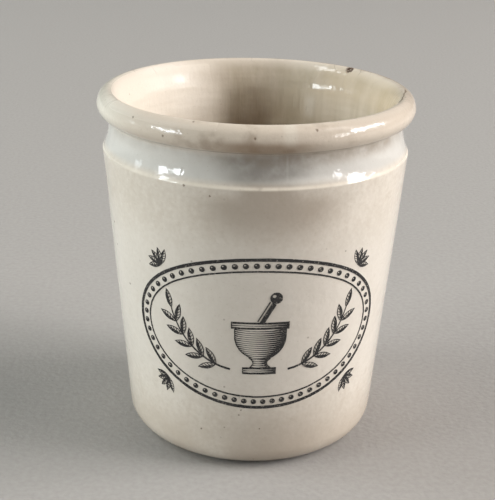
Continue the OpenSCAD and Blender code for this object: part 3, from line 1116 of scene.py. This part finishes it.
def cream_glaze():
    """Glossy cream glaze, pooled pale in the neck, worn beige on the bead, stained by use, and with
    painted shade, light and reflections in its colour.
    """
    finish, tree, shader = new_finish("cream_glaze")
    face = glaze_face(tree)
    colour = body_tone(tree, face)
    for lay_marks in (
        stain_wall,
        stain_neck,
        thin_shoulder,
        wear_bead,
        stain_inside,
        wear_lip,
        crack_rim,
        fleck,
    ):
        colour = lay_marks(tree, face, colour)
    tree.links.new(colour, shader.inputs["Base Color"])
    tree.links.new(glaze_gloss(tree, face), shader.inputs["Roughness"])
    roughen(tree, shader, glaze_skin(tree, face), 0.12 * MM, 1.0)
    return finish


def bare_biscuit():
    """Fired buff clay of the wiped foot ring, grainy and soiled from standing."""
    finish, tree, shader = new_finish("bare_biscuit")
    where = add(tree, "TexCoord").outputs["Object"]
    grain = clouds(tree, where, 0.5 * MM, 4.0)
    soil = clouds(tree, where, 6 * MM, 4.0)
    colour = two_tones(tree, grain, 0.3, (0.43, 0.34, 0.245), 0.7, (0.62, 0.525, 0.405))
    colour = wash(tree, colour, (0.24, 0.185, 0.135), fade(tree, soil, 0.45, 0.75), 0.6)
    spots = add(tree, "TexVoronoi", {"Vector": where, "Scale": 1 / (1.6 * MM)})
    iron = fade(tree, spots.outputs["Distance"], 0.16, 0.08)
    colour = wash(tree, colour, (0.14, 0.09, 0.06), iron, 0.7)
    tree.links.new(colour, shader.inputs["Base Color"])
    tree.links.new(between(tree, grain, 0.72, 0.95), shader.inputs["Roughness"])
    roughen(tree, shader, grain, 0.08 * MM, 0.7)
    return finish


def label_ink():
    """Black ink of the print, thin and grey in places."""
    finish, tree, shader = new_finish("label_ink")
    where = add(tree, "TexCoord").outputs["Object"]
    wear = clouds(tree, where, 0.45 * MM)
    patchy = clouds(tree, where, 7 * MM)
    colour = two_tones(tree, patchy, 0.35, (0.013, 0.013, 0.015), 0.7, (0.035, 0.034, 0.034))
    colour = wash(tree, colour, (0.30, 0.275, 0.24), fade(tree, wear, 0.56, 0.72), 0.8)
    tree.links.new(colour, shader.inputs["Base Color"])
    tree.links.new(between(tree, wear, 0.16, 0.34), shader.inputs["Roughness"])
    return finish


# Floor, lights and camera


def lay_floor():
    """Plain pale floor with a slight nap."""
    bm = bmesh.new()
    bmesh.ops.create_grid(bm, x_segments=1, y_segments=1, size=GROUND_HALF_W)
    mesh = bpy.data.meshes.new("floor")
    bm.to_mesh(mesh)
    bm.free()
    floor = bpy.data.objects.new("floor", mesh)
    bpy.context.scene.collection.objects.link(floor)
    finish, tree, shader = new_finish("pale_floor")
    nap = clouds(tree, add(tree, "TexCoord").outputs["Object"], 1.5 * MM, 4.0)
    colour = two_tones(tree, nap, 0.3, (0.345, 0.33, 0.315), 0.7, (0.385, 0.37, 0.355))
    tree.links.new(colour, shader.inputs["Base Color"])
    shader.inputs["Roughness"].default_value = 0.9
    roughen(tree, shader, nap, 0.5 * MM, 0.4)
    mesh.materials.append(finish)


def hang_light(name, azimuth, elevation, wide, high, glow, colour, mirrored=True):
    """Hangs a soft light that faces the pot, placed and sized in degrees as seen from the pot."""
    a = math.radians(azimuth)
    e = math.radians(elevation)
    way = Vector((math.sin(a) * math.cos(e), -math.cos(a) * math.cos(e), math.sin(e)))
    lamp = bpy.data.lights.new(name, "AREA")
    lamp.shape = "RECTANGLE"
    lamp.size = 2 * LIGHT_DISTANCE * math.tan(math.radians(wide / 2))
    lamp.size_y = 2 * LIGHT_DISTANCE * math.tan(math.radians(high / 2))
    lamp.energy = math.pi * lamp.size * lamp.size_y * glow
    lamp.color = colour
    light = bpy.data.objects.new(name, lamp)
    light.location = way * LIGHT_DISTANCE + UP * POT_H / 2
    light.rotation_euler = (-way).to_track_quat("-Z", "Y").to_euler()
    light.visible_glossy = mirrored
    bpy.context.scene.collection.objects.link(light)


def light_studio():
    """Lights that the glaze mirrors, others that it does not, and a very dim room."""
    hang_light("right_pane", 76, 19, 14, 14, 23.0, PANE_WHITE)
    hang_light("right_pane_2", 92, 19, 12, 14, 23.0, PANE_WHITE)
    hang_light("right_pane_3", 59.5, 12, 8, 6, 13.0, PANE_WHITE)
    hang_light("right_ceiling", 78, 45, 18, 30, 2.4, (1.0, 0.97, 0.95))
    hang_light("right_high", 84, 43, 44, 28, 4.4, (1.0, 0.94, 0.89), mirrored=False)
    hang_light("left_pane", -73, 13, 8, 7, 26.0, PANE_BLUE)
    hang_light("left_pane_2", -62.6, 13, 7, 7, 26.0, PANE_BLUE)
    hang_light("left_ceiling", -95, 54, 10, 11, 10.0, (0.95, 0.98, 1.0))
    hang_light("left_far_pane", -98, 8, 7, 5, 4.0, PANE_BLUE)
    hang_light("left_high", -80, 33, 28, 32, 3.2, (1.0, 0.94, 0.82), mirrored=False)
    hang_light("left_side", -108, 16, 90, 46, 2.1, (0.84, 0.97, 1.0), mirrored=False)
    hang_light("back_fill", 180, 40, 80, 40, 0.45, (1.0, 0.95, 0.90))
    world = bpy.data.worlds.new("studio")
    world.use_nodes = True
    room = world.node_tree.nodes["Background"].inputs
    room["Color"].default_value = (0.95, 0.97, 1, 1)
    room["Strength"].default_value = ROOM_GLOW
    bpy.context.scene.world = world
    bpy.context.scene.view_settings.view_transform = "Standard"


def set_camera():
    """Camera at the viewing angle: placed round the pot, panned, tilted down, then rolled."""
    lens = bpy.data.cameras.new("camera")
    lens.lens = LENS_MM
    lens.sensor_width = SENSOR_MM
    lens.clip_start = NEAREST_SEEN
    camera = bpy.data.objects.new("camera", lens)
    place = Vector((0, -CAMERA_DISTANCE, CAMERA_HEIGHT))
    turn = Matrix.Rotation(-CAMERA_PAN, 4, "Z") @ Matrix.Rotation(math.pi / 2 - CAMERA_TILT, 4, "X")
    stand = Matrix.Translation(place) @ turn @ Matrix.Rotation(CAMERA_ROLL, 4, "Z")
    camera.matrix_world = Matrix.Rotation(CAMERA_ROUND, 4, "Z") @ stand
    bpy.context.scene.collection.objects.link(camera)
    bpy.context.scene.camera = camera


glaze = cream_glaze()
biscuit = bare_biscuit()
make_glaze_coat(glaze)
make_clay_body(biscuit)
make_recess_glaze(glaze)
make_label(label_ink())
lay_floor()
light_studio()
set_camera()
